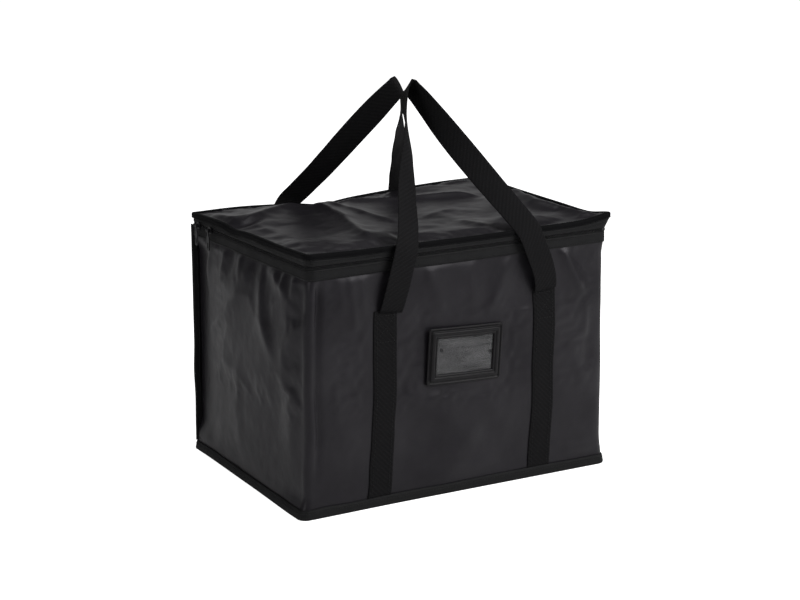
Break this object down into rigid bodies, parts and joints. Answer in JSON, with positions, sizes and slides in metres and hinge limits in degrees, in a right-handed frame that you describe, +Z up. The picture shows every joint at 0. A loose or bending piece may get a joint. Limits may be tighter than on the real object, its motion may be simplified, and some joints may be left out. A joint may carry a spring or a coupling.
{
  "type": "cooler bag",
  "caption": "Box-shaped soft insulated bag with a zipped hinged lid, sewn webbing carry handles, bound seams and a clear label holder on the front.",
  "frame": {"origin": "middle of the base, on the floor", "axes": "+X to the right along the front face, +Y from the front face to the back, +Z up"},
  "size_m": [0.5273, 0.3774, 0.5837],
  "materials": {
    "shell": "black coated fabric, soft semi-gloss sheen",
    "tape": "black woven binding and zip tape",
    "coil": "black nylon zip coil",
    "webbing": "matte black woven webbing",
    "foam": "white closed-cell foam sheet",
    "liner": "silver foil-faced lining",
    "board": "dark stiffening board",
    "metal": "black painted zip hardware",
    "vinyl": "black moulded vinyl",
    "clear": "clear flexible vinyl film"
  },
  "bodies": {
    "bag_body": {"outer_wrap": "shell", "back_outer": "shell", "base_outer": "shell", "base_foam": "foam", "front_foam": "foam", "back_foam": "foam", "left_foam": "foam", "right_foam": "foam", "base_board": "board", "inner_liner": "liner", "rear_left_binding": "tape", "rear_right_binding": "tape", "base_binding": "tape", "body_zip_tape": "tape", "lower_coil": "coil", "left_zip_stop": "metal", "right_zip_stop": "metal", "hinge_tape": "tape", "front_left_strap": "webbing", "front_right_strap": "webbing", "back_left_strap": "webbing", "back_right_strap": "webbing", "label_backing": "vinyl", "label_window": "clear", "label_frame": "vinyl"},
    "lid": {"upper_coil": "coil", "lid_zip_tape": "tape", "lid_outer": "shell", "lid_foam": "foam", "lid_liner": "liner", "lid_binding": "tape"},
    "front_handle": {"front_handle": "webbing"},
    "back_handle": {"back_handle": "webbing"},
    "front_slider": {"front_slider": "metal"},
    "front_pull": {"front_pull": "metal"},
    "rear_slider": {"rear_slider": "metal"},
    "rear_pull": {"rear_pull": "metal"}
  },
  "joints": [
    {"name": "lid_hinge", "type": "hinge", "parent": "bag_body", "child": "lid", "pos_m": [0, 0.1808, 0.3727], "axis": [-1, 0, 0], "range_deg": [0, 110], "deforming": ["front_handle", "back_handle"]},
    {"name": "front_handle_swing", "type": "hinge", "parent": "bag_body", "child": "front_handle", "pos_m": [0, -0.1839, 0.2903], "axis": [1, 0, 0], "range_deg": [0, 150]},
    {"name": "back_handle_swing", "type": "hinge", "parent": "bag_body", "child": "back_handle", "pos_m": [0, 0.1806, 0.2903], "axis": [-1, 0, 0], "range_deg": [0, 150]},
    {"name": "front_slider_run", "type": "slide", "parent": "bag_body", "child": "front_slider", "axis": [0, -1, 0], "range_m": [0, 0.25]},
    {"name": "rear_slider_run", "type": "slide", "parent": "bag_body", "child": "rear_slider", "axis": [0, 1, 0], "range_m": [0, 0.007]},
    {"name": "front_pull_swing", "type": "hinge", "parent": "front_slider", "child": "front_pull", "pos_m": [-0.2612, 0.111, 0.363], "axis": [0, 1, 0], "range_deg": [0, 120]},
    {"name": "rear_pull_swing", "type": "hinge", "parent": "rear_slider", "child": "rear_pull", "pos_m": [-0.2612, 0.151, 0.363], "axis": [0, 1, 0], "range_deg": [0, 120]}
  ]
}
